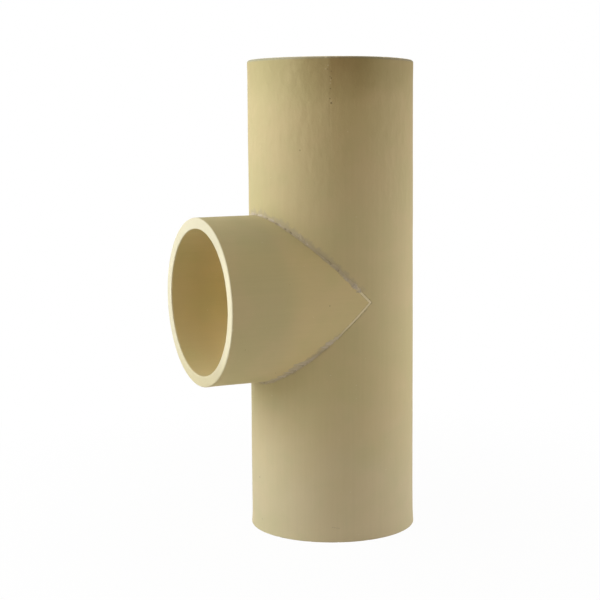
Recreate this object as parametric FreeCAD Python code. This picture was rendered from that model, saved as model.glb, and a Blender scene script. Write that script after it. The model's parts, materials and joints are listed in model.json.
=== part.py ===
# Equal tee of a round fireclay chimney flue liner.
# An upright flue pipe carries a side branch cut from the same pipe. The two are mitred
# together along a V of two 45 degree planes and bonded with a thin layer of cement,
# which stands proud as a low bead along the seam and is wiped back inside the bore.
# Millimetres, +Z up. The flue's axis is the Z axis, its foot stands on z = 0, and the
# branch points along -X.
import FreeCAD, Part
import math
import os

# Driving dimensions of the pipe that both pieces are cut from
bore_diameter = 200.0
wall_thickness = 15.0
outer_arris_radius = 2.0
edge_bevel = 1.0

# The upright pipe's foot, which spread a little while the wet clay stood on it to dry
foot_spread = 1.0
foot_spread_height = 26.0

# Where the pieces are cut and how they meet
flue_length = 655.0
branch_axis_height = 328.0
branch_overhang = 88.0
cement_thickness = 2.5
bead_height = 0.8
wipe_depth = 0.8

# Sizes that follow from them
bore_radius = bore_diameter / 2
outer_radius = bore_radius + wall_thickness
branch_reach = outer_radius + branch_overhang
branch_length = branch_reach + outer_radius
mitre_reach = 2 * branch_length
axis_crossing = FreeCAD.Vector(0, 0, branch_axis_height)
x_axis = FreeCAD.Vector(1, 0, 0)
y_axis = FreeCAD.Vector(0, 1, 0)
z_axis = FreeCAD.Vector(0, 0, 1)


def at(radius, height):
    """A point of a pipe's section, which is drawn on the branch side of the upright axis."""
    return FreeCAD.Vector(-radius, 0, height)


def turned(*runs):
    """The solid that a closed section of arcs and straight runs makes about the upright axis."""
    edges = []
    for run in runs:
        edges += run.Edges
    return Part.Face(Part.Wire(edges)).revolve(FreeCAD.Vector(), z_axis, 360)


def ring(inner_radius, ring_radius, length):
    """A plain round tube standing on z = 0."""
    corners = [at(ring_radius, 0), at(ring_radius, length), at(inner_radius, length), at(inner_radius, 0)]
    return turned(Part.makePolygon(corners + corners[:1]))


def sawn_end(length):
    """The section round a pipe's sawn end: the worn outer arris, the flat face and the bore's bevel."""
    inset = outer_arris_radius * (1 - math.sqrt(0.5))
    arris_start = at(outer_radius, length - outer_arris_radius)
    arris_middle = at(outer_radius - inset, length - inset)
    arris_end = at(outer_radius - outer_arris_radius, length)
    bevel_start = at(bore_radius + edge_bevel, length)
    bevel_end = at(bore_radius, length - edge_bevel)
    arris = Part.Arc(arris_start, arris_middle, arris_end).toShape()
    return Part.Wire([arris] + Part.makePolygon([arris_end, bevel_start, bevel_end]).Edges)


def foot_sweep():
    """The arc in which the upright pipe's outside spreads from its toe to its wall."""
    sweep_height = foot_spread_height - edge_bevel
    sweep_radius = (sweep_height**2 + foot_spread**2) / (2 * foot_spread)
    half_turn = math.asin(sweep_height / sweep_radius) / 2
    middle_radius = outer_radius + sweep_radius * (1 - math.cos(half_turn))
    middle_height = foot_spread_height - sweep_radius * math.sin(half_turn)
    toe = at(outer_radius + foot_spread, edge_bevel)
    wall_start = at(outer_radius, foot_spread_height)
    return Part.Arc(toe, at(middle_radius, middle_height), wall_start).toShape()


def flue_stock():
    """The upright pipe before it is notched."""
    wall_start = at(outer_radius, foot_spread_height)
    wall_end = at(outer_radius, flue_length - outer_arris_radius)
    bore_and_foot = Part.makePolygon([
        at(bore_radius, flue_length - edge_bevel),
        at(bore_radius, edge_bevel),
        at(bore_radius + edge_bevel, 0),
        at(outer_radius + foot_spread - edge_bevel, 0),
        at(outer_radius + foot_spread, edge_bevel),
    ])
    wall = Part.makeLine(wall_start, wall_end)
    return turned(foot_sweep(), wall, sawn_end(flue_length), bore_and_foot)


def branch_stock():
    """The side pipe before it is pointed, standing upright with its mouth at the top."""
    bore_and_wall = Part.makePolygon([
        at(bore_radius, branch_length - edge_bevel),
        at(bore_radius, 0),
        at(outer_radius, 0),
        at(outer_radius, branch_length - outer_arris_radius),
    ])
    return turned(sawn_end(branch_length), bore_and_wall)


def laid_along_branch(tube):
    """Turns an upright tube of the branch's length so that its top becomes the branch's mouth."""
    tube = tube.copy()
    tube.rotate(FreeCAD.Vector(), y_axis, -90)
    tube.translate(axis_crossing + x_axis * outer_radius)
    return tube


def branch_side(offset):
    """Everything on the branch's side of the V, with its planes moved by offset along their normals."""
    tip = axis_crossing + x_axis * (offset * math.sqrt(2))
    upper = tip + (z_axis - x_axis) * mitre_reach
    lower = tip - (z_axis + x_axis) * mitre_reach
    outline = Part.Face(Part.makePolygon([tip, upper, lower, tip]))
    outline.translate(-y_axis * mitre_reach)
    return outline.extrude(y_axis * (2 * mitre_reach))


def flue_pipe():
    """The upright pipe, with the V notch sawn half way through it."""
    return flue_stock().cut(branch_side(cement_thickness / 2))


def branch_pipe():
    """The side pipe, from its open mouth to the V point that enters the notch."""
    return laid_along_branch(branch_stock()).common(branch_side(-cement_thickness / 2))


def cement_joint():
    """The cement between the two mitred ends, proud of the pipes outside and wiped back in the bore."""
    inner_radius = bore_radius + wipe_depth
    bead_radius = outer_radius + bead_height
    seam = branch_side(0)
    flue_ring = ring(inner_radius, bead_radius, flue_length)
    branch_ring = laid_along_branch(ring(inner_radius, bead_radius, branch_length))
    on_flue = flue_ring.common(branch_side(cement_thickness / 2)).cut(seam)
    on_branch = branch_ring.common(seam).cut(branch_side(-cement_thickness / 2))
    return on_flue.fuse(on_branch).removeSplitter()


pieces = {
    "flue_pipe": flue_pipe(),
    "branch_pipe": branch_pipe(),
    "cement_joint": cement_joint(),
}

os.makedirs("parts", exist_ok=True)
for name, shape in pieces.items():
    solids = shape.Solids
    body = solids[0] if len(solids) == 1 else Part.makeCompound(solids)
    body.exportStep(f"parts/{name}.step")
    box = body.optimalBoundingBox()
    print(
        f"{name}: {len(solids)} solid, valid {body.isValid()}, {body.Volume / 1000:.1f} cm3, "
        f"{box.XLength:.1f} x {box.YLength:.1f} x {box.ZLength:.1f} mm"
    )
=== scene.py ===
import json
import math

import bpy
from mathutils import Matrix, Vector


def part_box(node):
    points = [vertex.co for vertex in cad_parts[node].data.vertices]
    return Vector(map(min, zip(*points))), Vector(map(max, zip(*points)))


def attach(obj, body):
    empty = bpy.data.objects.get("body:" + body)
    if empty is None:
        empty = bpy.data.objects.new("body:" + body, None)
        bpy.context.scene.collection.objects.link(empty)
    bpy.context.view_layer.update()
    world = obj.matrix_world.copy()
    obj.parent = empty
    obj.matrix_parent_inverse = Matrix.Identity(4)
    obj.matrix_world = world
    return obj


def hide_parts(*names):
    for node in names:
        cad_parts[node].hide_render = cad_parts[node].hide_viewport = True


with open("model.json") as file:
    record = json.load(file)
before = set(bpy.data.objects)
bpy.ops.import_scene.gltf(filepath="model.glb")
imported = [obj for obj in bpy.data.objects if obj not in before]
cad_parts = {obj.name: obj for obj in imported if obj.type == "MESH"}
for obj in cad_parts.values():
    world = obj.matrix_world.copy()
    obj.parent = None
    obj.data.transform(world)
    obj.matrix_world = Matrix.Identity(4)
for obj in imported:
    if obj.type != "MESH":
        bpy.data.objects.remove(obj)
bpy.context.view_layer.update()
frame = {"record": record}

_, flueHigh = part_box("flue_pipe")
branchLow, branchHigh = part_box("branch_pipe")
_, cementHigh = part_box("cement_joint")
branchBore = next(mount for mount in frame["record"]["mounts"] if mount["name"] == "branch_bore")

tee = {  # sizes that the frame gives, in metres
    "boreRadius": branchBore["dims"]["r_mm"] / 1000,
    "outerRadius": branchHigh.y,
    "toeSpread": flueHigh.y - branchHigh.y,
    "flueLength": flueHigh.z,
    "axisHeight": branchBore["pos_m"][2],
    "branchReach": -branchLow.x,  # from the upright axis to the branch's mouth
    "mitreGap": -branchHigh.x,  # from the V's middle line to either pipe's cut, along the branch
    "beadHeight": cementHigh.y - branchHigh.y,
}
print("frame read:", {name: round(size, 5) for name, size in tee.items()})


# Node trees

class Flow:  # a value on its way through a node tree, so that node maths reads as plain sums
    def __init__(self, socket):
        self.socket = socket

    def __add__(self, other):
        return maths("ADD", self, other)

    def __sub__(self, other):
        return maths("SUBTRACT", self, other)

    def __rsub__(self, other):
        return maths("SUBTRACT", other, self)

    def __mul__(self, other):
        return maths("MULTIPLY", self, other)

    def __truediv__(self, other):
        return maths("DIVIDE", self, other)

    def __rtruediv__(self, other):
        return maths("DIVIDE", other, self)

    def __pow__(self, other):
        return maths("POWER", self, other)

    def __abs__(self):
        return maths("ABSOLUTE", self)

    def __gt__(self, other):
        return maths("GREATER_THAN", self, other)

    def __lt__(self, other):
        return maths("LESS_THAN", self, other)

    __radd__, __rmul__ = __add__, __mul__


def feed(socket, value):
    if isinstance(value, Flow):
        socket.id_data.links.new(value.socket, socket)
    else:
        socket.default_value = value


def addNode(tree, kind, feeds=None, **settings):
    node = tree.nodes.new(kind)
    for name, setting in settings.items():
        setattr(node, name, setting)
    for key, value in (feeds or {}).items():
        feed(node.inputs[key], value)
    return node


def flowOf(tree, kind, feeds=None, output=0, **settings):
    return Flow(addNode(tree, kind, feeds, **settings).outputs[output])


def treeOf(*terms):
    return next(term.socket.id_data for term in terms if isinstance(term, Flow))


def maths(operation, *terms):
    return flowOf(treeOf(*terms), "ShaderNodeMath", dict(enumerate(terms)), operation=operation)


def larger(first, second):
    return maths("MAXIMUM", first, second)


def equals(count, other):  # for whole numbers
    return maths("COMPARE", count, other, 0.1)


def between(low, high, share):
    return low + (high - low) * share


def smoothStep(value, low, high):
    feeds = {"Value": value, "From Min": low, "From Max": high}
    return flowOf(treeOf(value, low, high), "ShaderNodeMapRange", feeds, interpolation_type="SMOOTHSTEP")


def fade(value, low, high):
    return 1.0 - smoothStep(value, low, high)


def combined(x, y, z):
    return flowOf(treeOf(x, y, z), "ShaderNodeCombineXYZ", {"X": x, "Y": y, "Z": z})


def split(vector):
    node = addNode(treeOf(vector), "ShaderNodeSeparateXYZ", {0: vector})
    return [Flow(socket) for socket in node.outputs]


def scaled(vector, amount):
    feeds = {0: vector, "Scale": amount}
    return flowOf(treeOf(vector), "ShaderNodeVectorMath", feeds, operation="SCALE")


def distance(first, second):
    feeds = {0: first, 1: second}
    return flowOf(treeOf(first, second), "ShaderNodeVectorMath", feeds, "Value", operation="DISTANCE")


def noise(vector, size, seed=0.0, detail=2.0, roughness=0.5):
    feeds = {"Vector": vector, "W": seed, "Scale": 1 / size, "Detail": detail, "Roughness": roughness}
    return flowOf(treeOf(vector), "ShaderNodeTexNoise", feeds, noise_dimensions="4D")


def spread(field, margin):  # noise seldom leaves the middle of 0 to 1, so its margins are cut off
    return smoothStep(field, margin, 1.0 - margin)


socketKinds = {
    float: "NodeSocketFloat",
    int: "NodeSocketInt",
    tuple: "NodeSocketVector",
    str: "NodeSocketGeometry",
    type(None): "NodeSocketMaterial",
}


def newTree(name, kind, inputs, outputs):
    tree = bpy.data.node_groups.new(name, kind)
    for label, start in inputs.items():
        socket = tree.interface.new_socket(label, in_out="INPUT", socket_type=socketKinds[type(start)])
        if isinstance(start, (float, int, tuple)):
            socket.default_value = start
    for label, socketKind in outputs.items():
        tree.interface.new_socket(label, in_out="OUTPUT", socket_type=socketKind)
    entry = tree.nodes.new("NodeGroupInput")
    given = {socket.name: Flow(socket) for socket in entry.outputs if socket.name}
    return tree, given, tree.nodes.new("NodeGroupOutput")


def shapeTree(name, inputs):
    return newTree(name, "GeometryNodeTree", inputs, {"Geometry": "NodeSocketGeometry"})


def effectGroup(name, inputs, outputs):
    return newTree(name, "ShaderNodeTree", inputs, {label: "NodeSocketFloat" for label in outputs})


def groupNode(tree, group, feeds):
    kind = "GeometryNodeGroup" if group.bl_idname == "GeometryNodeTree" else "ShaderNodeGroup"
    return addNode(tree, kind, feeds, node_tree=group)


def groupFlow(tree, group, feeds):
    return Flow(groupNode(tree, group, feeds).outputs[0])


# Steps that the geometry trees share

fine = {  # in metres
    "weld": 0.000005,  # points closer than this become one
    "level": 0.000001,  # values closer than this are the same
    "depth": 0.00001,  # the least depth that counts as cut
    "skin": 0.00005,  # the least depth that counts as inside the wall
}


def pointCount(curve):
    return flowOf(treeOf(curve), "GeometryNodeAttributeDomainSize", {"Geometry": curve}, component="CURVE")


def placed(geometry, position):
    feeds = {"Geometry": geometry, "Position": position}
    return flowOf(treeOf(geometry), "GeometryNodeSetPosition", feeds)


def shifted(geometry, offset):
    feeds = {"Geometry": geometry, "Offset": offset}
    return flowOf(treeOf(geometry), "GeometryNodeSetPosition", feeds)


def stored(geometry, values):
    for label, value in values.items():
        geometry = flowOf(treeOf(geometry), "GeometryNodeStoreNamedAttribute", {
            "Geometry": geometry, "Name": label, "Value": value,
        }, data_type="FLOAT", domain="POINT")
    return geometry


def welded(geometry):
    feeds = {"Geometry": geometry, "Distance": fine["weld"]}
    return flowOf(treeOf(geometry), "GeometryNodeMergeByDistance", feeds)


def flipped(mesh):
    return flowOf(treeOf(mesh), "GeometryNodeFlipFaces", {"Mesh": mesh})


def joined(*geometries):
    node = treeOf(*geometries).nodes.new("GeometryNodeJoinGeometry")
    for geometry in geometries:
        feed(node.inputs[0], geometry)
    return Flow(node.outputs[0])


def shadedSmooth(geometry):
    feeds = {"Geometry": geometry, "Shade Smooth": True}
    return flowOf(treeOf(geometry), "GeometryNodeSetShadeSmooth", feeds)


def finishTree(tree, result, geometry, material):
    realized = flowOf(tree, "GeometryNodeRealizeInstances", {"Geometry": geometry})
    dressed = flowOf(tree, "GeometryNodeSetMaterial", {"Geometry": realized, "Material": material})
    feed(result.inputs["Geometry"], dressed)


def runTree(name, tree, values):
    piece = bpy.data.objects.new(name, bpy.data.meshes.new(name + "Start"))
    bpy.context.scene.collection.objects.link(piece)
    modifier = piece.modifiers.new("shape", "NODES")
    modifier.node_group = tree
    for item in tree.interface.items_tree:
        if item.in_out == "INPUT" and item.name in values:
            modifier[item.identifier] = values[item.name]
    depsgraph = bpy.context.evaluated_depsgraph_get()
    evaluated = piece.evaluated_get(depsgraph)
    mesh = bpy.data.meshes.new_from_object(evaluated, preserve_all_data_layers=True, depsgraph=depsgraph)
    piece.modifiers.remove(modifier)
    piece.data = mesh
    mesh.name = name
    mesh.calc_loop_triangles()
    print("made", name, "with", len(mesh.loop_triangles), "triangles")
    return piece


# One leg of pipe, from a square sawn end to the mitre, standing on its sawn end

legLook = {
    "Bore Radius": 0.1,
    "Outer Radius": 0.115,
    "Axis Length": 0.3,
    "Mitre Gap": 0.002,
    "Both Sides": 0.0,
    "End Arris": 0.002,
    "Bore Arris": 0.001,
    "Mitre Arris": 0.0,
    "Sawn Reach": 1.0,
    "Toe Spread": 0.0,
    "Toe Height": 0.026,
    "Around": 384,
    "Row Spacing": 0.0045,
    "End Crowding": 1.35,
    "Line Turn": 0.0,
    "Line Crowding": 0.0,
    "Corner Points": 5,
    "Cut Wear": 0.0003,  # the least width of a mitre's pale edge
}


def wallRows(tree, given):
    bore, outer, length = given["Bore Radius"], given["Outer Radius"], given["Axis Length"]
    arris = given["End Arris"]
    middle = (bore + outer) * 0.5
    index = flowOf(tree, "GeometryNodeInputIndex")
    position = flowOf(tree, "GeometryNodeInputPosition")

    # Section of the wall: radius across, distance from the sawn end upwards
    section = flowOf(tree, "GeometryNodeCurvePrimitiveQuadrilateral", {
        "Point 1": combined(outer, length, 0.0),
        "Point 2": combined(outer, 0.0, 0.0),
        "Point 3": combined(bore, 0.0, 0.0),
        "Point 4": combined(bore, length, 0.0),
    }, mode="POINTS")
    cornerRadius = (
        given["Mitre Arris"] * equals(index, 0.0)
        + arris * equals(index, 1.0)
        + given["Bore Arris"] * equals(index, 2.0)
    )
    rounded = flowOf(tree, "GeometryNodeFilletCurve", {
        "Curve": section, "Count": given["Corner Points"], "Radius": cornerRadius,
    }, mode="POLY")

    # Rows, twice as far apart in the bore, and closer together towards the sawn end
    following = flowOf(tree, "GeometryNodeFieldAtIndex", {
        "Index": maths("MODULO", index + 1.0, pointCount(rounded)), "Value": position,
    }, data_type="FLOAT_VECTOR")
    radius, along, _ = split(position)
    rowSize = given["Row Spacing"] * (1.0 + (radius < middle))
    rows = flowOf(tree, "GeometryNodeSubdivideCurve", {
        "Curve": rounded, "Cuts": distance(position, following) / rowSize,
    })
    past = larger(along - arris, 0.0)
    reach = length - arris
    crowded = maths("MINIMUM", along, arris) + reach * (past / reach) ** given["End Crowding"]
    toeShare = larger(1.0 - crowded / given["Toe Height"], 0.0) ** 2.0
    footed = radius + given["Toe Spread"] * toeShare * (radius > middle)
    return placed(rows, combined(footed, crowded, 0.0))


def pipeLegTree():
    tree, given, result = shapeTree("pipeLeg", legLook)
    outer, length, arris = given["Outer Radius"], given["Axis Length"], given["End Arris"]
    wall = wallRows(tree, given)

    # The section turned about the axis, with columns crowded towards the die line
    index = flowOf(tree, "GeometryNodeInputIndex")
    position = flowOf(tree, "GeometryNodeInputPosition")
    rowCount = pointCount(wall)
    rowsWide = rowCount + 1.0
    grid = flowOf(tree, "GeometryNodeMeshGrid", {
        "Vertices X": given["Around"] + 1.0, "Vertices Y": rowsWide,
    })
    column = maths("FLOOR", (index + 0.5) / rowsWide)
    row = maths("MODULO", index - column * rowsWide, rowCount)
    sampled = flowOf(tree, "GeometryNodeSampleIndex", {
        "Geometry": wall, "Value": position, "Index": row,
    }, data_type="FLOAT_VECTOR", domain="POINT")
    radius, along, _ = split(sampled)
    turn = column * (2 * math.pi) / given["Around"]
    turn = turn - given["Line Crowding"] * maths("SINE", turn - given["Line Turn"])
    x = radius * maths("COSINE", turn)
    y = radius * maths("SINE", turn)

    # The mitre takes a depth off the far end that follows its plane, or both of its planes
    gap = given["Mitre Gap"]
    depth = larger(gap - x, given["Both Sides"] * (gap + x))
    start = arris * 2.0  # the sawn end stays square
    share = larger((along - start) / (length - start), 0.0)
    leg = placed(grid, combined(x, y, along - depth * share))

    # Sawn faces are paler than the skin
    sawnReach = arris * given["Sawn Reach"]
    onEnd = fade(along, sawnReach * 0.3, sawnReach)
    cutReach = larger(given["Mitre Arris"], given["Cut Wear"])
    insideWall = radius < outer - fine["skin"]
    onCut = fade(length - along, 0.0, cutReach) * (depth > fine["depth"]) * insideWall
    leg = stored(leg, {"sawn": larger(onEnd, onCut), "fromEnd": along})

    # Where two legs meet behind a notch, they have no end face
    _, _, height = split(position)
    leg = flowOf(tree, "GeometryNodeDeleteGeometry", {
        "Geometry": leg, "Selection": height > length - fine["level"],
    }, domain="FACE")
    feed(result.inputs["Geometry"], flipped(welded(leg)))
    return tree


# The fired surface: slow waves and chipped ends, all of them inwards, so that the pipe keeps its size

surfaceLook = {
    "Geometry": "geometry",
    "Wave Depth": 0.0004,
    "Wave Size": 0.09,
    "Wave Fade": 0.03,  # a sawn end is flat, and the waves grow over this distance
    "Chip Depth": 0.0008,
    "Chip Size": 0.006,
    "Chip Reach": 0.004,
    "Chip Start": 0.6,  # the noise where a chip begins and where it is deepest
    "Chip Full": 0.78,
    "Crease Angle": math.radians(35),  # edges sharper than this stay sharp
    "Seed": 0.0,
}


def firedSurfaceTree():
    tree, given, result = shapeTree("firedSurface", surfaceLook)
    position = flowOf(tree, "GeometryNodeInputPosition")
    normal = flowOf(tree, "GeometryNodeInputNormal")
    fromEnd = flowOf(tree, "GeometryNodeInputNamedAttribute", {"Name": "fromEnd"}, data_type="FLOAT")
    wave = spread(noise(position, given["Wave Size"], given["Seed"], detail=1.0), 0.3)
    wave = wave * smoothStep(fromEnd, 0.0, given["Wave Fade"])
    chip = noise(position, given["Chip Size"], given["Seed"] + 7.0)
    chip = smoothStep(chip, given["Chip Start"], given["Chip Full"])
    chip = chip * fade(fromEnd, 0.0, given["Chip Reach"])
    sunk = given["Wave Depth"] * wave + given["Chip Depth"] * chip
    surface = stored(given["Geometry"], {"chip": chip})
    surface = shadedSmooth(shifted(surface, scaled(normal, 0.0 - sunk)))
    creased = flowOf(tree, "GeometryNodeInputMeshEdgeAngle") > given["Crease Angle"]
    surface = flowOf(tree, "GeometryNodeSetShadeSmooth", {
        "Geometry": surface, "Selection": creased, "Shade Smooth": False,
    }, domain="EDGE")
    feed(result.inputs["Geometry"], surface)
    return tree


legTree = pipeLegTree()
surfaceTree = firedSurfaceTree()

pipeStock = {  # what both pipes are cut from
    "Bore Radius": tee["boreRadius"],
    "Outer Radius": tee["outerRadius"],
    "Mitre Gap": tee["mitreGap"],
    "Bore Arris": 0.001,
    "Around": 384,
}


# Upright pipe: two legs that meet behind the notch

flueLook = {
    "Flue Length": tee["flueLength"],
    "Axis Height": tee["axisHeight"],
    "Top Arris": 0.0035,
    "Toe Arris": 0.001,
    "Toe Spread": tee["toeSpread"],
    "Toe Height": 0.026,
    "Row Spacing": 0.0046,
    "Line Turn": math.radians(242.6),  # the die line, which faces the camera
    "Line Crowding": 0.6,
    "Line Depth": 0.0002,
    "Line Width": 0.0016,
    "Line Foot": 0.46,
    "Line Head": 0.01,  # it is at its deepest this far below the top
    "Sawn Reach": 0.1,  # share of the arris that is as pale as the sawn end
    "Dip Turn": math.radians(-27.4),  # the top's saw cut dips towards this side
    "Top Dip": 0.0029,
    "Far Dip": 0.4,  # share of the dip on the side opposite
    "Dip Reach": 0.08,  # down the pipe
    "Seed": 3.0,
}

dieLine = {  # it strays to the sides and is broken in places
    "stray": 0.003,
    "straySize": 0.011,
    "breakSize": 0.02,
    "breakRange": (0.3, 0.55),
    "facing": 0.95,  # share of the radius past which the outside faces it
}


def besideDieLine(x, y, z, cosine, sine, seed):
    stray = noise(combined(0.0, 0.0, z), dieLine["straySize"], seed + 2.0) - 0.5
    return y * cosine - x * sine + stray * dieLine["stray"]


def topDip(given, x, y, z):
    dipTurn = given["Dip Turn"]
    aside = (x * maths("COSINE", dipTurn) + y * maths("SINE", dipTurn)) / given["Outer Radius"]
    sideShare = between(given["Far Dip"], 1.0, aside > 0.0)
    nearTop = smoothStep(z, given["Flue Length"] - given["Dip Reach"], given["Flue Length"])
    return given["Top Dip"] * abs(aside) ** 3.0 * sideShare * nearTop


def dieGroove(given, x, y, z):
    cosine, sine = maths("COSINE", given["Line Turn"]), maths("SINE", given["Line Turn"])
    sideways = besideDieLine(x, y, z, cosine, sine, given["Seed"])
    facing = x * cosine + y * sine
    groove = maths("EXPONENT", 0.0 - (sideways / given["Line Width"]) ** 2.0)
    groove = groove * (facing > given["Outer Radius"] * dieLine["facing"])
    groove = groove * smoothStep(z, given["Line Foot"], given["Flue Length"] - given["Line Head"])
    breaks = noise(combined(0.0, 0.0, z), dieLine["breakSize"], given["Seed"])
    groove = groove * given["Line Depth"] * smoothStep(breaks, *dieLine["breakRange"])
    return combined(0.0 - groove * cosine, 0.0 - groove * sine, 0.0)


def fluePipeTree():
    tree, given, result = shapeTree("fluePipe", {**pipeStock, **flueLook, "Material": None})
    alike = [*pipeStock, "Row Spacing", "Line Turn", "Line Crowding", "Sawn Reach"]
    shared = {label: given[label] for label in alike}
    lower = groupFlow(tree, legTree, {
        **shared,
        "Axis Length": given["Axis Height"],
        "End Arris": given["Toe Arris"],
        "Toe Spread": given["Toe Spread"],
        "Toe Height": given["Toe Height"],
    })
    upper = groupFlow(tree, legTree, {
        **shared,
        "Axis Length": given["Flue Length"] - given["Axis Height"],
        "End Arris": given["Top Arris"],
    })
    mirrored = flowOf(tree, "GeometryNodeTransform", {
        "Geometry": upper,
        "Translation": combined(0.0, 0.0, given["Flue Length"]),
        "Scale": (1, 1, -1),
    })
    pipe = welded(joined(flipped(mirrored), lower))

    # The top was sawn a little out of true, and the die drew a shallow line down from it
    x, y, z = split(flowOf(tree, "GeometryNodeInputPosition"))
    pipe = shifted(pipe, combined(0.0, 0.0, 0.0 - topDip(given, x, y, z)))
    pipe = shifted(pipe, dieGroove(given, x, y, z))
    uneven = groupFlow(tree, surfaceTree, {"Geometry": pipe, "Seed": given["Seed"]})
    finishTree(tree, result, uneven, given["Material"])
    return tree


# Side branch: one leg, pointed on both sides and laid along -X

branchLook = {
    "Branch Reach": tee["branchReach"],
    "Axis Height": tee["axisHeight"],
    "Mouth Arris": 0.0016,
    "Mitre Arris": 0.0009,
    "Row Spacing": 0.0028,
    "Seed": 11.0,
}


def branchPipeTree():
    tree, given, result = shapeTree("branchPipe", {**pipeStock, **branchLook, "Material": None})
    leg = groupFlow(tree, legTree, {
        **{label: given[label] for label in [*pipeStock, "Row Spacing", "Mitre Arris"]},
        "Both Sides": 1.0,
        "Axis Length": given["Branch Reach"],
        "End Arris": given["Mouth Arris"],
    })
    laid = flowOf(tree, "GeometryNodeTransform", {
        "Geometry": leg,
        "Translation": combined(0.0 - given["Branch Reach"], 0.0, given["Axis Height"]),
        "Rotation": (0, math.pi / 2, 0),
    })
    uneven = groupFlow(tree, surfaceTree, {"Geometry": laid, "Seed": given["Seed"]})
    finishTree(tree, result, uneven, given["Material"])
    return tree


# Cement in the joint: a layer between the cuts, with a ragged bead that laps onto both pipes

cementLook = {
    "Bore Radius": tee["boreRadius"],
    "Outer Radius": tee["outerRadius"],
    "Axis Height": tee["axisHeight"],
    "Half Gap": tee["mitreGap"] / math.sqrt(2) - 0.0001,  # a hair clear of both cuts
    "Wipe Depth": 0.0009,  # the bore's side is wiped back this far
    "Bead Height": tee["beadHeight"],
    "Wide Lap": 0.0058,  # onto the flue above the branch, and onto the branch's underside
    "Narrow Lap": 0.0030,
    "Lap Size": 0.010,  # lengths along the seam: the lap's lumps, its small ones and its long ones
    "Ragged Size": 0.004,
    "Wide Size": 0.024,
    "Crest Size": 0.0042,  # the bead's bumps, and the nicks in it
    "Nick Size": 0.0084,
    "Worn Lap": 0.6,  # share of the lap in a worn place, and in a full one
    "Full Lap": 1.45,
    "Crown Start": 0.75,  # where the seam crosses the branch's top, as a share of its radius
    "Crown End": 0.97,
    "Crown Lap": 0.5,  # share of the lap that is left there
    "Crown Evenness": 0.75,
    "Root": 0.0005,  # how deep the lap's edges are sunk into the pipes
    "Crest Low": 0.05,  # shares of the bead's height
    "Crest High": 0.65,
    "Nick Depth": 0.8,
    "Bare Above": 0.017,  # near the V's points the seam is rubbed clean and shows as a pale line
    "Bare Below": 0.047,
    "Bare Proud": 0.0003,
    "Bare Root": 0.0011,
    "Bare On Branch": 1.5,  # the line's width over the half gap: the rubbed edge belongs to the branch
    "Bare On Flue": 0.8,
    "Bare Wander": 0.008,  # how far the pale line's ends stray
    "Patch Wander": 0.012,  # and those of the worn and full places
    "Along": 960,
    "Crumb Radius": 0.0007,
    "Crumb Least": 0.4,  # the smallest crumb's share of that radius
    "Crumb Share": 0.02,
    "Seed": 23,
}

cementPlaces = {  # height over the branch's axis and reach along the seam
    "worn": [(0.093, 0.012), (0.058, 0.027), (-0.064, 0.010), (-0.112, 0.016)],  # brown and narrow
    "full": [(-0.086, 0.015)],
}

cementRange = {  # the shares of the lap that its lumps leave, and the noise that makes a nick
    "lump": (0.6, 1.0),
    "ragged": (0.92, 1.08),
    "wide": (0.4, 1.6),
    "nick": (0.58, 0.64),
}

sectionPoints = 24  # round the bead's section, which is a closed loop
vTip = 0.1  # the V's points reach this far up and down the seam, as a share of the pipe's radius


def seamMask(height, places):
    mask = 0.0
    for centre, reach in places:
        away = abs(height - centre)
        mask = larger(fade(away, reach * 0.5, reach), mask)
    return mask


# From a distance off the seam's plane and a radius to a place, on the branch's pipe or on the flue's
def seamPlace(offPlane, radius, turn):
    across, along = maths("COSINE", turn), maths("SINE", turn)
    steep = abs(across)
    offAxis = offPlane * math.sqrt(2)
    branchX = offAxis - radius * steep
    pointed = larger(1.0 - steep / vTip, 0.0)  # there the flue's lap turns sideways
    flueX = offAxis * pointed - radius * steep
    flueY = maths("SQRT", larger(radius * radius - flueX * flueX, 0.0)) * maths("SIGN", along)
    flueZ = (offAxis - flueX) * maths("SIGN", across)
    onFlue = offPlane > 0.0
    x = between(branchX, flueX, onFlue)
    y = between(radius * along, flueY, onFlue)
    z = between(radius * across, flueZ, onFlue)
    return x, y, z


def crumbsOn(bead, crown, given):
    tree = treeOf(bead)
    index = flowOf(tree, "GeometryNodeInputIndex")
    chosen = flowOf(tree, "FunctionNodeRandomValue", {
        "Probability": given["Crumb Share"], "ID": index, "Seed": given["Seed"],
    }, 3, data_type="BOOLEAN")
    size = flowOf(tree, "FunctionNodeRandomValue", {  # inputs 2 and 3 are its least and its most
        2: given["Crumb Least"], 3: 1.0, "ID": index, "Seed": given["Seed"] + 1.0,
    }, 1, data_type="FLOAT")
    crumb = flowOf(tree, "GeometryNodeMeshIcoSphere", {
        "Radius": given["Crumb Radius"], "Subdivisions": 2,
    })
    return flowOf(tree, "GeometryNodeInstanceOnPoints", {
        "Points": bead, "Selection": crown * chosen, "Instance": crumb,
        "Scale": combined(size, size, size),
    })


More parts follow.
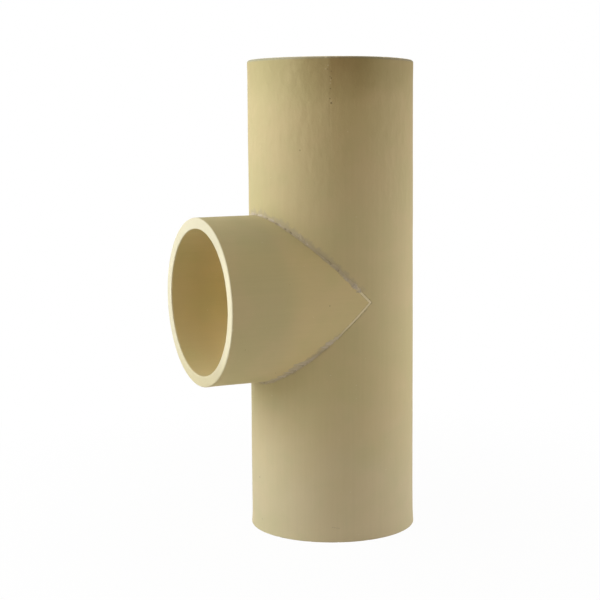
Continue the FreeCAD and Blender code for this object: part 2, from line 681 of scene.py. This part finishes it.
def cementTree():
    tree, given, result = shapeTree("cementBead", {**cementLook, "Material": None})
    outer, gap = given["Outer Radius"], given["Half Gap"]
    index = flowOf(tree, "GeometryNodeInputIndex")
    column = maths("FLOOR", (index + 0.5) / (sectionPoints + 1.0))
    sectionPlace = index - column * (sectionPoints + 1.0)
    turn = column * (2 * math.pi) / given["Along"]
    sectionTurn = sectionPlace * (2 * math.pi / sectionPoints)
    upward, aside = maths("SINE", sectionTurn), maths("COSINE", sectionTurn)

    # Where the seam runs, and how ragged it is there
    seamY, seamZ = outer * maths("SINE", turn), outer * maths("COSINE", turn)
    seam = combined(0.0 - abs(seamZ), seamY, seamZ)
    above = seamZ > 0.0
    onFlueSide = aside > 0.0
    seed = given["Seed"] + onFlueSide * 9.0  # the two edges wander by themselves
    lump = spread(noise(seam, given["Lap Size"], seed, detail=0.0), 0.33)
    ragged = spread(noise(seam, given["Ragged Size"], seed + 3.0, detail=1.0), 0.33)
    wide = spread(noise(seam, given["Wide Size"], seed + 5.0, detail=0.0), 0.35)
    crest = spread(noise(seam, given["Crest Size"], given["Seed"] + 7.0, detail=1.0), 0.33)
    nick = noise(seam, given["Nick Size"], given["Seed"] + 13.0)
    nick = smoothStep(nick, *cementRange["nick"])
    bareEnd = between(given["Bare Below"], given["Bare Above"], above)
    fromTip = abs(seamZ) + (crest - 0.5) * given["Bare Wander"]
    filled = smoothStep(fromTip, bareEnd * 0.8, bareEnd * 1.1)
    bare = 1.0 - filled
    patchHeight = seamZ + (crest - 0.5) * given["Patch Wander"]
    worn = seamMask(patchHeight, cementPlaces["worn"])
    full = seamMask(patchHeight, cementPlaces["full"])

    # How far it laps onto each pipe
    overTop = smoothStep(seamZ, outer * given["Crown Start"], outer * given["Crown End"])
    lap = between(given["Narrow Lap"], given["Wide Lap"], equals(onFlueSide, above))
    lap = lap * (1.0 + (given["Worn Lap"] - 1.0) * worn + (given["Full Lap"] - 1.0) * full)
    lap = lap * between(1.0, given["Crown Lap"], overTop)
    uneven = between(*cementRange["lump"], lump) * between(*cementRange["ragged"], ragged)
    uneven = uneven * between(*cementRange["wide"], wide)
    uneven = between(uneven, 1.0, given["Crown Evenness"] * overTop)
    bareWidth = gap * between(given["Bare On Branch"], given["Bare On Flue"], onFlueSide)
    bareWidth = bareWidth * between(1.0, 1.1, above)
    capWidth = larger(lap * uneven * filled, gap * 0.98 * filled + bareWidth * bare)

    # Section: a cap above the pipes' surfaces and a nearly square stem between their cuts
    onCap = larger(upward, 0.0)
    inStem = larger(0.0 - upward, 0.0)
    sunk = between(given["Root"], given["Bare Root"], bare)
    crestShare = between(given["Crest Low"], given["Crest High"], crest) - given["Nick Depth"] * nick
    top = given["Bead Height"] * crestShare * filled + given["Bare Proud"] * bare
    capRise = (top + sunk) * onCap ** between(0.8, 0.4, bare)
    inner = given["Bore Radius"] + given["Wipe Depth"]
    stemDrop = (outer - sunk - inner) * inStem ** 0.3
    radius = larger(outer - sunk + capRise, 0.0) - stemDrop
    squared = maths("SIGN", aside) * abs(aside) ** 0.4
    offPlane = capWidth * aside * (inStem < fine["level"]) + gap * squared * (inStem > 0.0)

    x, y, z = seamPlace(offPlane, radius, turn)
    grid = flowOf(tree, "GeometryNodeMeshGrid", {
        "Vertices X": given["Along"] + 1.0, "Vertices Y": sectionPoints + 1,
    })
    bead = placed(grid, combined(x, y, z + given["Axis Height"]))
    thick = smoothStep(capRise - sunk, 0.0, given["Bead Height"] * 0.4)
    # painted shade in the bead's nicks
    paintedShade = nick * filled * onCap ** 2.0
    bead = stored(bead, {"bare": bare, "paintedShade": paintedShade, "thick": thick, "worn": worn})
    crown = equals(sectionPlace, sectionPoints / 4) * (filled > 0.5)
    whole = joined(crumbsOn(bead, crown, given), welded(bead))
    finishTree(tree, result, shadedSmooth(whole), given["Material"])
    return tree


# Effects that the materials share

def clayBodyGroup():
    tree, given, result = effectGroup("clayBody", {
        "Vector": (0.0, 0.0, 0.0),
        "Blotch Size": 0.07,
        "Streak Width": 0.004,
        "Streak Length": 0.12,
        "Grain Size": 0.0012,
    }, ["Blotch", "Streak", "Grain"])
    x, y, z = split(given["Vector"])
    width, length = given["Streak Width"], given["Streak Length"]
    stretched = combined(x / width, y / width, z / length)
    feed(result.inputs["Blotch"], noise(given["Vector"], given["Blotch Size"], 2.0, 3.0, 0.55))
    feed(result.inputs["Streak"], noise(stretched, 1.0, 4.0, 2.0, 0.6))
    feed(result.inputs["Grain"], noise(given["Vector"], given["Grain Size"], 6.0, 4.0, 0.65))
    return tree


def flecksGroup():
    tree, given, result = effectGroup("flecks", {
        "Vector": (0.0, 0.0, 0.0),
        "Cell Size": 0.02,
        "Fleck Size": 0.0007,
        "Share": 0.3,
    }, ["Mask"])
    cells = addNode(tree, "ShaderNodeTexVoronoi", {
        "Vector": given["Vector"], "Scale": 1.0 / given["Cell Size"],
    })
    reach = Flow(cells.outputs["Distance"]) * given["Cell Size"]
    red, green, _ = split(Flow(cells.outputs["Color"]))
    size = given["Fleck Size"] * (0.5 + green)
    feed(result.inputs["Mask"], fade(reach, size * 0.5, size) * (red < given["Share"]))
    return tree


clayBody = clayBodyGroup()
flecks = flecksGroup()


def colour(*linear):
    return (*linear, 1.0)


def mixed(share, first, second, blend="MIX"):
    feeds = {0: share, 6: first, 7: second}
    tree = treeOf(share, first, second)
    return flowOf(tree, "ShaderNodeMix", feeds, 2, data_type="RGBA", blend_type=blend)


def tinted(share, skin, tint):
    return mixed(share, skin, tint, "MULTIPLY")


def newMaterial(name):
    material = bpy.data.materials.new(name)
    material.use_nodes = True
    tree = material.node_tree
    shader = tree.nodes["Principled BSDF"]
    return material, tree, shader


def attribute(tree, name):
    return flowOf(tree, "ShaderNodeAttribute", None, "Fac", attribute_name=name)


clayLook = {
    "cool": colour(0.60, 0.517, 0.283),
    "warm": colour(0.64, 0.526, 0.302),
    "sawn": colour(0.72, 0.655, 0.49),
    "stain": colour(0.943, 0.91, 0.79),  # on the sawn ends, growing downwards between these heights
    "stainReach": (0.215, 0.285),
    "mouthHighlight": colour(1.2, 1.2, 1.18),  # painted highlight on the mouth's near side, growing between these distances aside
    "mouthHighlightReach": (0.06, 0.105),
    "bore": colour(0.99, 0.98, 0.90),  # the bore's skin against the outside's
    "fleck": colour(0.16, 0.11, 0.06),
    "flecks": {"Cell Size": 0.03, "Fleck Size": 0.0008},
    "fleckShare": 0.8,
    "grog": colour(0.78, 0.70, 0.50),
    "grogFlecks": {"Cell Size": 0.011, "Fleck Size": 0.0007},
    "grogShare": 0.5,
    "shade": {"least": 0.94, "streak": 0.06, "grain": 0.06},
    "relief": {"grain": 0.5, "streak": 0.4, "fleck": 1.5, "pit": 3.0},  # flecks and pits are sunk
    "roughness": 0.78,
    "roughnessSwing": 0.2,
    "specular": 0.3,
    "bump": {"Strength": 0.35, "Distance": 0.0004},
}

marksAndShade = {  # marks that firing and handling left, and painted light and shade
    "cloudSize": 0.045,  # the marks have cloudy edges
    "flameCloud": 0.01,  # how far they stray beside the flame, under the top and over the foot
    "topCloud": 0.05,
    "footCloud": 0.1,
    "topShade": colour(0.86, 0.87, 0.82),  # painted shade round the whole top
    "flameAndShade": colour(0.72, 0.67, 0.58),  # on the die line's right: partly a real stain, partly painted shade
    "flameAndShadeReach": 0.07,  # down from the top
    "flameSpill": 0.038,  # its soft half passes the die line by this much
    "softShare": 0.45,
    "softBlur": (0.012, 0.2),  # at the top, and more for each metre below it
    "sharpBlur": (0.0015, 0.05),
    "hiddenBlur": 0.06,  # in the bore and on the back, where no die line stops it
    "hiddenReach": (0.0, 0.05),  # the back ends between these distances in front of the axis
    "flankReach": (0.03, 0.09),  # it thins out between these distances from the die line
    "flankLoss": 0.8,
    # painted shade, darker towards the top and most on the flame's side
    "upperShade": colour(0.92, 0.84, 0.77),
    "upperShadeReach": (0.02, 0.26),  # down from the top
    "upperShadeLeast": 0.4,  # its share where the flame did not reach
    "rim": colour(0.75, 0.925, 1.46),  # painted shade on the top's worn edge, which faces up
    "rimReach": (0.001, 0.0045),
    "rimShare": 0.8,
    # paler and bluer towards the foot
    "footPale": colour(1.05, 1.08, 1.26),
    "footPaleReach": 0.24,  # up from the foot
    "nearFlueLight": colour(1.10, 1.075, 1.02),  # painted light on the branch, growing between these two places along it
    "nearFlueLightReach": (-0.14, -0.09),
    "branchTopShade": colour(0.88, 0.93, 0.98),  # painted shade on the branch's top, growing between these heights
    "branchTopShadeReach": (0.385, 0.43),
    "boreLight": colour(1.29, 1.31, 1.45),  # painted light deep in both bores
    "boreLightReach": (-0.17, -0.10),
    "dragSize": (0.010, 0.016),  # lumps that the die drew out, across and along the pipe
    "dragHeight": 7.0,
    "dragReach": (0.38, 0.50),
}

clayPits = {  # open pores: place and radius
    "colour": colour(0.22, 0.17, 0.09),
    "share": 0.8,
    "crumbShare": 0.35,
    "flueClay": [
        ((-0.0514, -0.1029, 0.594), 0.0018),  # these were dragged open along the die line
        ((-0.0530, -0.1020, 0.600), 0.0011),
        ((-0.0525, -0.1023, 0.6128), 0.0011),
        ((-0.0513, -0.1029, 0.6264), 0.0012),
        ((-0.0528, -0.1022, 0.6285), 0.0011),
        ((-0.0512, -0.1030, 0.6355), 0.0010),
        ((-0.0553, -0.1009, 0.6381), 0.0010),
        ((-0.0854, -0.0771, 0.5325), 0.0010),  # a single one
        ((-0.0525, -0.1023, 0.0213), 0.0008),  # a scuff above the foot
        ((-0.0501, -0.1035, 0.0207), 0.0008),
        ((-0.0476, -0.1047, 0.0201), 0.0008),
        ((-0.0451, -0.1058, 0.0198), 0.0008),
    ],
    "branchClay": [((-0.0617, -0.1150, 0.3274), 0.0011)],
    "crumbs": [  # pale, beside the die line's pores
        ((-0.0522, -0.1025, 0.5965), 0.0012),
        ((-0.0528, -0.1022, 0.6198), 0.0012),
        ((-0.0524, -0.1023, 0.6239), 0.0012),
        ((-0.0581, -0.0992, 0.6385), 0.0012),
        ((-0.0552, -0.1009, 0.6429), 0.0012),
    ],
}

cementPaint = {
    "dull": colour(0.46, 0.385, 0.30),
    "dry": colour(0.645, 0.555, 0.445),
    "dryRange": (0.37, 0.67),
    "dryGrain": 0.6,
    "underLight": 0.2,  # painted light: paler below the branch's axis, where the lower seam lies in shade
    "thin": colour(0.57, 0.48, 0.33),  # wiped so thin that the clay shows
    "worn": colour(0.53, 0.45, 0.30),  # patches that are brown instead of mauve
    "wornSize": 0.007,
    "wornRange": (0.42, 0.55),
    "wornShare": (0.5, 0.95),
    # painted shade in the bead's nicks and in specks beside it
    "paintedShade": colour(0.33, 0.27, 0.19),
    "paintedShadeShare": 0.8,
    "sand": colour(0.74, 0.68, 0.55),
    "sandFlecks": {"Cell Size": 0.0022, "Fleck Size": 0.0006, "Share": 0.25},
    "sandShare": 0.7,
    "sandHeight": 0.5,  # over the grain's
    "sandGloss": 0.2,
    "body": {"Blotch Size": 0.012, "Grain Size": 0.0008},
    "bare": colour(0.88, 0.77, 0.53),
    "faded": colour(0.72, 0.62, 0.40),  # the pale line between these distances from the V's points
    "fadedReach": (0.020, 0.046),
    # cement smeared over the pipes, darkened to hold painted shade beside the seam
    "smearShade": colour(0.49, 0.415, 0.29),
    "smearShadeShare": 0.7,
    "smearShadeReach": 0.010,  # how far it was smeared over the pipes
    "smearShadeSize": 0.008,
    "smearShadeNarrow": 0.4,  # share of the reach on the narrow lap's side
    "smearShadeSwing": (2.6, 0.5),  # so much of the noise, less so much, is a share of it too
    "gapShadeSize": 0.005,  # painted shade of the gap beside the bead, in specks, which start and end at these distances from it
    "gapShadeStart": (0.0010, 0.0016),
    "gapShadeEnd": (0.0020, 0.0034),
    "gapShadeRange": (0.50, 0.60),
    "gapShadeShare": 0.4,
    "roughness": 0.9,
    "bump": {"Strength": 0.4, "Distance": 0.0005},
}


def claySkin(tree, place):
    body = groupNode(tree, clayBody, {"Vector": place})
    blotch, streak, grain = (Flow(body.outputs[label]) for label in ("Blotch", "Streak", "Grain"))
    grog = groupFlow(tree, flecks, {"Vector": place, **clayLook["grogFlecks"]})
    skin = mixed(spread(blotch, 0.35), clayLook["cool"], clayLook["warm"])
    skin = mixed(grog * clayLook["grogShare"], skin, clayLook["grog"])
    x, y, _ = split(place)
    inBore = (x * x + y * y) ** 0.5 < (tee["boreRadius"] + tee["outerRadius"]) / 2
    return tinted(inBore, skin, clayLook["bore"]), streak, grain, inBore


# The flame's mark on the flue, partly a real stain and partly painted shade, of which a soft half spills
# over the die line and a sharp half stops at it
def flankOfFlameAndShade(x, y, z, below, cloud, inBore):
    cosine, sine = math.cos(flueLook["Line Turn"]), math.sin(flueLook["Line Turn"])
    sideways = besideDieLine(x, y, z, cosine, sine, flueLook["Seed"])
    hidden = larger(inBore, fade(x * cosine + y * sine, *marksAndShade["hiddenReach"]))
    softStart, softGrowth = marksAndShade["softBlur"]
    sharpStart, sharpGrowth = marksAndShade["sharpBlur"]
    blur = softStart + below * softGrowth
    edge = sharpStart + below * sharpGrowth + hidden * marksAndShade["hiddenBlur"]
    spilt = sideways + cloud * marksAndShade["flameCloud"] + marksAndShade["flameSpill"]
    soft = smoothStep(spilt, 0.0 - blur, blur)
    sharp = smoothStep(sideways, 0.0 - edge, edge)
    lost = marksAndShade["flankLoss"] * smoothStep(sideways, *marksAndShade["flankReach"])
    return between(sharp, soft, marksAndShade["softShare"]) * (1.0 - lost)


def flueMarksAndShade(tree, place, skin, inBore):
    x, y, z = split(place)
    cloud = noise(place, marksAndShade["cloudSize"], 9.0) - 0.5
    fromTop = tee["flueLength"] - z + cloud * marksAndShade["topCloud"]
    flank = flankOfFlameAndShade(x, y, z, larger(fromTop, 0.0), cloud, inBore)
    flameAndTopShade = fade(fromTop, 0.0, marksAndShade["flameAndShadeReach"])
    # painted shade round the top, and the flame's mark, which holds painted shade too
    skin = tinted(flameAndTopShade, skin, marksAndShade["topShade"])
    skin = tinted(flameAndTopShade * flank, skin, marksAndShade["flameAndShade"])
    upperShaded = fade(fromTop, *marksAndShade["upperShadeReach"]) * between(marksAndShade["upperShadeLeast"], 1.0, flank)
    skin = tinted(upperShaded, skin, marksAndShade["upperShade"])
    rimShaded = fade(attribute(tree, "fromEnd"), *marksAndShade["rimReach"]) * (z > tee["axisHeight"])
    skin = tinted(rimShaded * marksAndShade["rimShare"], skin, marksAndShade["rim"])
    footPaled = fade(z + cloud * marksAndShade["footCloud"], 0.0, marksAndShade["footPaleReach"])
    return tinted(footPaled, skin, marksAndShade["footPale"])


# Painted light on the branch near the flue, and painted shade on its top
def branchPaintedLight(place, skin, inBore):
    alongBranch, _, upward = split(place)
    outside = 1.0 - inBore
    skin = tinted(smoothStep(alongBranch, *marksAndShade["nearFlueLightReach"]) * outside, skin, marksAndShade["nearFlueLight"])
    return tinted(smoothStep(upward, *marksAndShade["branchTopShadeReach"]) * outside, skin, marksAndShade["branchTopShade"])


# Cement smeared over the pipes with painted shade in it, and painted shade in specks at the gap beside the
# bead
def cementSmearShade(place, skin, side):
    x, y, z = split(place)
    rise = z - tee["axisHeight"]
    above = rise > 0.0
    offSeam = (x + abs(rise)) * (side / math.sqrt(2))
    patch = noise(place, cementPaint["smearShadeSize"], 12.0, 3.0, 0.6)
    onWideSide = 0.5 + side * above - side * 0.5
    gain, loss = cementPaint["smearShadeSwing"]
    reach = cementPaint["smearShadeReach"] * between(cementPaint["smearShadeNarrow"], 1.0, onWideSide)
    reach = reach * (patch * gain - loss)
    smearShade = fade(offSeam, reach * 0.3, larger(reach, 0.0001))
    bareEnd = between(cementLook["Bare Below"], cementLook["Bare Above"], above)
    smearShade = smearShade * smoothStep(abs(rise), bareEnd * 0.7, bareEnd * 1.2)
    outside = (y * y + maths("MINIMUM", x * x, rise * rise)) ** 0.5 > tee["boreRadius"] * 1.04
    skin = mixed(smearShade * outside * cementPaint["smearShadeShare"], skin, cementPaint["smearShade"])
    # painted shade in specks at the gap beside the bead
    beside = smoothStep(offSeam, *cementPaint["gapShadeStart"]) * fade(offSeam, *cementPaint["gapShadeEnd"])
    gapShade = smoothStep(noise(place, cementPaint["gapShadeSize"], 18.0), *cementPaint["gapShadeRange"])
    gapShade = beside * (gapShade * (1.0 - smearShade)) * outside * cementPaint["gapShadeShare"]
    return mixed(gapShade, skin, cementPaint["paintedShade"])


def pitMask(place, pits):
    mask = 0.0
    for centre, radius in pits:
        mask = mask + fade(distance(place, centre), radius * 0.4, radius)
    return mask


def dragMarks(place):
    x, y, z = split(place)
    width, length = marksAndShade["dragSize"]
    marks = noise(combined(x / width, y / width, z / length), 1.0, 15.0, 2.0, 0.4)
    return marks * smoothStep(z, *marksAndShade["dragReach"]) * marksAndShade["dragHeight"]


# Side is 1 for the flue's side of the seam and -1 for the branch's
def clayMaterial(name, side, axisTurn=(0, 0, 0), axisPlace=(0, 0, 0)):
    material, tree, shader = newMaterial(name)
    isFlue = side > 0
    place = flowOf(tree, "ShaderNodeTexCoord", None, "Object")
    alongPipe = flowOf(tree, "ShaderNodeMapping", {
        "Vector": place, "Rotation": axisTurn, "Location": axisPlace,
    })
    alongBranch, aside, upward = split(place)

    # Fired skin, with its marks and the painted light and shade on it
    skin, streak, grain, inBore = claySkin(tree, alongPipe)
    if isFlue:
        skin = flueMarksAndShade(tree, alongPipe, skin, inBore)
    skin = tinted(smoothStep(alongBranch, *marksAndShade["boreLightReach"]) * inBore, skin, marksAndShade["boreLight"])
    if not isFlue:
        skin = branchPaintedLight(place, skin, inBore)
    skin = cementSmearShade(place, skin, side)

    # Sawn faces and chips, with a painted highlight on the mouth's near side
    sawnFace = tinted(fade(upward, *clayLook["stainReach"]), clayLook["sawn"], clayLook["stain"])
    if not isFlue:
        sawnFace = tinted(smoothStep(0.0 - aside, *clayLook["mouthHighlightReach"]), sawnFace, clayLook["mouthHighlight"])
    sawn = larger(attribute(tree, "sawn"), attribute(tree, "chip"))
    base = mixed(sawn, skin, sawnFace)

    # Grain, flecks and pores
    shade, relief = clayLook["shade"], clayLook["relief"]
    base = scaled(base, shade["least"] + shade["streak"] * streak + shade["grain"] * grain)
    dark = groupFlow(tree, flecks, {"Vector": place, **clayLook["flecks"]})
    base = mixed(dark * clayLook["fleckShare"], base, clayLook["fleck"])
    pit = pitMask(place, clayPits[name])
    base = mixed(pit * clayPits["share"], base, clayPits["colour"])
    height = grain * relief["grain"] + streak * relief["streak"]
    height = height - dark * relief["fleck"] - pit * relief["pit"]
    if isFlue:
        crumbs = pitMask(place, clayPits["crumbs"])
        base = mixed(crumbs * clayPits["crumbShare"], base, clayLook["grog"])
        height = height + dragMarks(alongPipe)
    feed(shader.inputs["Base Color"], base)
    roughness = clayLook["roughness"] + (grain - 0.5) * clayLook["roughnessSwing"]
    feed(shader.inputs["Roughness"], roughness)
    feed(shader.inputs["Specular IOR Level"], clayLook["specular"])
    bump = flowOf(tree, "ShaderNodeBump", {**clayLook["bump"], "Height": height})
    feed(shader.inputs["Normal"], bump)
    return material


def cementMaterial():
    material, tree, shader = newMaterial("jointCement")
    place = flowOf(tree, "ShaderNodeTexCoord", None, "Object")
    body = groupNode(tree, clayBody, {"Vector": place, **cementPaint["body"]})
    blotch, grain = Flow(body.outputs["Blotch"]), Flow(body.outputs["Grain"])
    sand = groupFlow(tree, flecks, {"Vector": place, **cementPaint["sandFlecks"]})
    _, _, upward = split(place)
    under = upward < tee["axisHeight"]
    # paler below the branch's axis: painted light
    driedAndLit = blotch + (grain - 0.5) * cementPaint["dryGrain"] + under * cementPaint["underLight"]
    driedAndLit = smoothStep(driedAndLit, *cementPaint["dryRange"])
    base = mixed(driedAndLit, cementPaint["dull"], cementPaint["dry"])
    patchy = noise(place, cementPaint["wornSize"], 14.0, 3.0, 0.6)
    wornShare = between(*cementPaint["wornShare"], smoothStep(patchy, *cementPaint["wornRange"]))
    base = mixed(attribute(tree, "worn") * wornShare, base, cementPaint["worn"])
    base = mixed(1.0 - attribute(tree, "thick"), base, cementPaint["thin"])
    base = mixed(sand * cementPaint["sandShare"], base, cementPaint["sand"])
    # painted shade in the bead's nicks
    shadedNicks = attribute(tree, "paintedShade") * cementPaint["paintedShadeShare"]
    base = mixed(shadedNicks, base, cementPaint["paintedShade"])
    faded = smoothStep(abs(upward - tee["axisHeight"]), *cementPaint["fadedReach"])
    paleLine = mixed(faded, cementPaint["bare"], cementPaint["faded"])
    base = mixed(attribute(tree, "bare"), base, paleLine)
    feed(shader.inputs["Base Color"], base)
    feed(shader.inputs["Roughness"], cementPaint["roughness"] - sand * cementPaint["sandGloss"])
    height = grain + sand * cementPaint["sandHeight"]
    bump = flowOf(tree, "ShaderNodeBump", {**cementPaint["bump"], "Height": height})
    feed(shader.inputs["Normal"], bump)
    return material


# The pieces

fluePipe = runTree("fluePipe", fluePipeTree(), {
    **pipeStock, **flueLook, "Material": clayMaterial("flueClay", 1),
})
branchPipe = runTree("branchPipe", branchPipeTree(), {
    **pipeStock, **branchLook,
    "Material": clayMaterial("branchClay", -1, (0, -math.pi / 2, 0), (tee["axisHeight"], 0, 0)),
})
cementBead = runTree("cementBead", cementTree(), {**cementLook, "Material": cementMaterial()})

stoodFor = {
    "flue_pipe": (fluePipe, "fired_clay"),
    "branch_pipe": (branchPipe, "fired_clay"),
    "cement_joint": (cementBead, "joint_cement"),
}
for node, (piece, slotName) in stoodFor.items():
    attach(piece, "root")
    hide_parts(node)
print("pieces ride on the frame")


# Camera, as the photograph was taken

photoCamera = {
    "focalShare": 1466.354 / 600,  # focal length over the frame's width
    "sensorWidth": 36,
    "distance": 2.056448,
    "turn": math.radians(27.394),  # the branch comes this far towards the viewer
    "height": 0.583756,
    "pitch": math.radians(7.339),
    "yaw": math.radians(-1.235),
    "roll": math.radians(-0.484),
    "clip": (0.05, 50),
}


def placeCamera(look):
    data = bpy.data.cameras.new("photoCamera")
    data.sensor_fit = "HORIZONTAL"
    data.sensor_width = look["sensorWidth"]
    data.lens = look["focalShare"] * data.sensor_width
    data.clip_start, data.clip_end = look["clip"]
    camera = bpy.data.objects.new("photoCamera", data)
    bpy.context.scene.collection.objects.link(camera)
    heading = look["turn"] + look["yaw"]
    level = math.cos(look["pitch"])
    forward = Vector((math.sin(heading) * level, math.cos(heading) * level, -math.sin(look["pitch"])))
    right = forward.cross(Vector((0, 0, 1))).normalized()
    up = right.cross(forward)
    tilted = right * math.cos(look["roll"]) + up * math.sin(look["roll"])
    upright = up * math.cos(look["roll"]) - right * math.sin(look["roll"])
    turned = Matrix((tilted, upright, -forward)).transposed().to_4x4()
    eye = Vector((-math.sin(look["turn"]), -math.cos(look["turn"]), 0)) * look["distance"]
    camera.matrix_world = Matrix.Translation(eye + Vector((0, 0, look["height"]))) @ turned
    bpy.context.scene.camera = camera


placeCamera(photoCamera)
print("camera placed")


# Floor and light

studio = {
    "floorSize": 12.0,
    "floorColour": colour(0.86, 0.855, 0.84),
    "floorGlow": 0.97,  # how much of the floor the camera sees as plain white, near the object
    "floorFade": (0.2, 0.9),  # distances between which that share grows to all of it
    "white": colour(1, 1, 1),
    "ambient": colour(1.0, 0.90, 0.75),
    "ambientStrength": 0.30,
}

lamps = {  # bearing is degrees round the object from the camera, to its right
    "leftKey": {"bearing": -85, "distance": 1.0, "height": 0.68, "size": (0.7, 0.9), "power": 7.8,
                "tint": (0.92, 0.99, 1.0)},
    "rightRim": {"bearing": 95, "distance": 0.9, "height": 0.26, "size": (0.6, 0.4), "power": 3.3,
                 "tint": (1.0, 1.0, 1.0)},
    "highFill": {"bearing": -40, "distance": 1.2, "height": 1.35, "size": (0.8, 0.8), "power": 3.85,
                 "tint": (1.0, 1.0, 0.86)},
    "downFlue": {"bearing": 0, "distance": 0.0, "height": 0.8, "size": (0.16, 0.16), "power": 0.16,
                 "tint": (1.0, 0.85, 0.6), "spread": 60},
}


def placeLamp(name, look):
    data = bpy.data.lights.new(name, "AREA")
    data.shape = "RECTANGLE"
    data.size, data.size_y = look["size"]
    data.energy = look["power"]
    data.color = look["tint"]
    data.spread = math.radians(look.get("spread", 180))
    lamp = bpy.data.objects.new(name, data)
    bpy.context.scene.collection.objects.link(lamp)
    bearing = math.radians(look["bearing"]) - photoCamera["turn"]
    lamp.location = Vector((math.sin(bearing), -math.cos(bearing), 0)) * look["distance"]
    lamp.location.z = look["height"]
    aim = Vector((0, 0, tee["flueLength"] / 2)) - lamp.location
    lamp.rotation_euler = aim.to_track_quat("-Z", "Y").to_euler()


def seenDirectly(tree):
    path = tree.nodes.new("ShaderNodeLightPath")
    seen = Flow(path.outputs["Is Camera Ray"])
    for label in ("Is Glossy Ray", "Is Transmission Ray"):
        seen = larger(seen, Flow(path.outputs[label]))
    return seen


def makeFloor(look):
    half = look["floorSize"] / 2
    corners = [(-half, -half, 0), (half, -half, 0), (half, half, 0), (-half, half, 0)]
    mesh = bpy.data.meshes.new("floor")
    mesh.from_pydata(corners, [], [(0, 1, 2, 3)])
    floor = bpy.data.objects.new("floor", mesh)
    bpy.context.scene.collection.objects.link(floor)
    material, tree, shader = newMaterial("floorPaper")
    feed(shader.inputs["Base Color"], look["floorColour"])
    feed(shader.inputs["Roughness"], 1.0)
    feed(shader.inputs["Specular IOR Level"], 0.0)
    glow = flowOf(tree, "ShaderNodeEmission", {"Color": look["white"], "Strength": 1.0})
    place = flowOf(tree, "ShaderNodeTexCoord", None, "Object")
    share = between(look["floorGlow"], 1.0, smoothStep(distance(place, (0, 0, 0)), *look["floorFade"]))
    blend = flowOf(tree, "ShaderNodeMixShader", {
        0: seenDirectly(tree) * share, 1: Flow(shader.outputs[0]), 2: glow,
    })
    feed(tree.nodes["Material Output"].inputs["Surface"], blend)
    mesh.materials.append(material)


def makeWorld(look):
    world = bpy.data.worlds.new("studio")
    world.use_nodes = True
    bpy.context.scene.world = world
    tree = world.node_tree
    lit = tree.nodes["Background"]
    feed(lit.inputs["Color"], look["ambient"])
    feed(lit.inputs["Strength"], look["ambientStrength"])
    white = flowOf(tree, "ShaderNodeBackground", {"Color": look["white"], "Strength": 1.0})
    blend = flowOf(tree, "ShaderNodeMixShader", {
        0: seenDirectly(tree), 1: Flow(lit.outputs[0]), 2: white,
    })
    feed(tree.nodes["World Output"].inputs["Surface"], blend)


makeFloor(studio)
makeWorld(studio)
for lampName, lampLook in lamps.items():
    placeLamp(lampName, lampLook)
bpy.context.scene.view_settings.view_transform = "Standard"
print("studio lit")
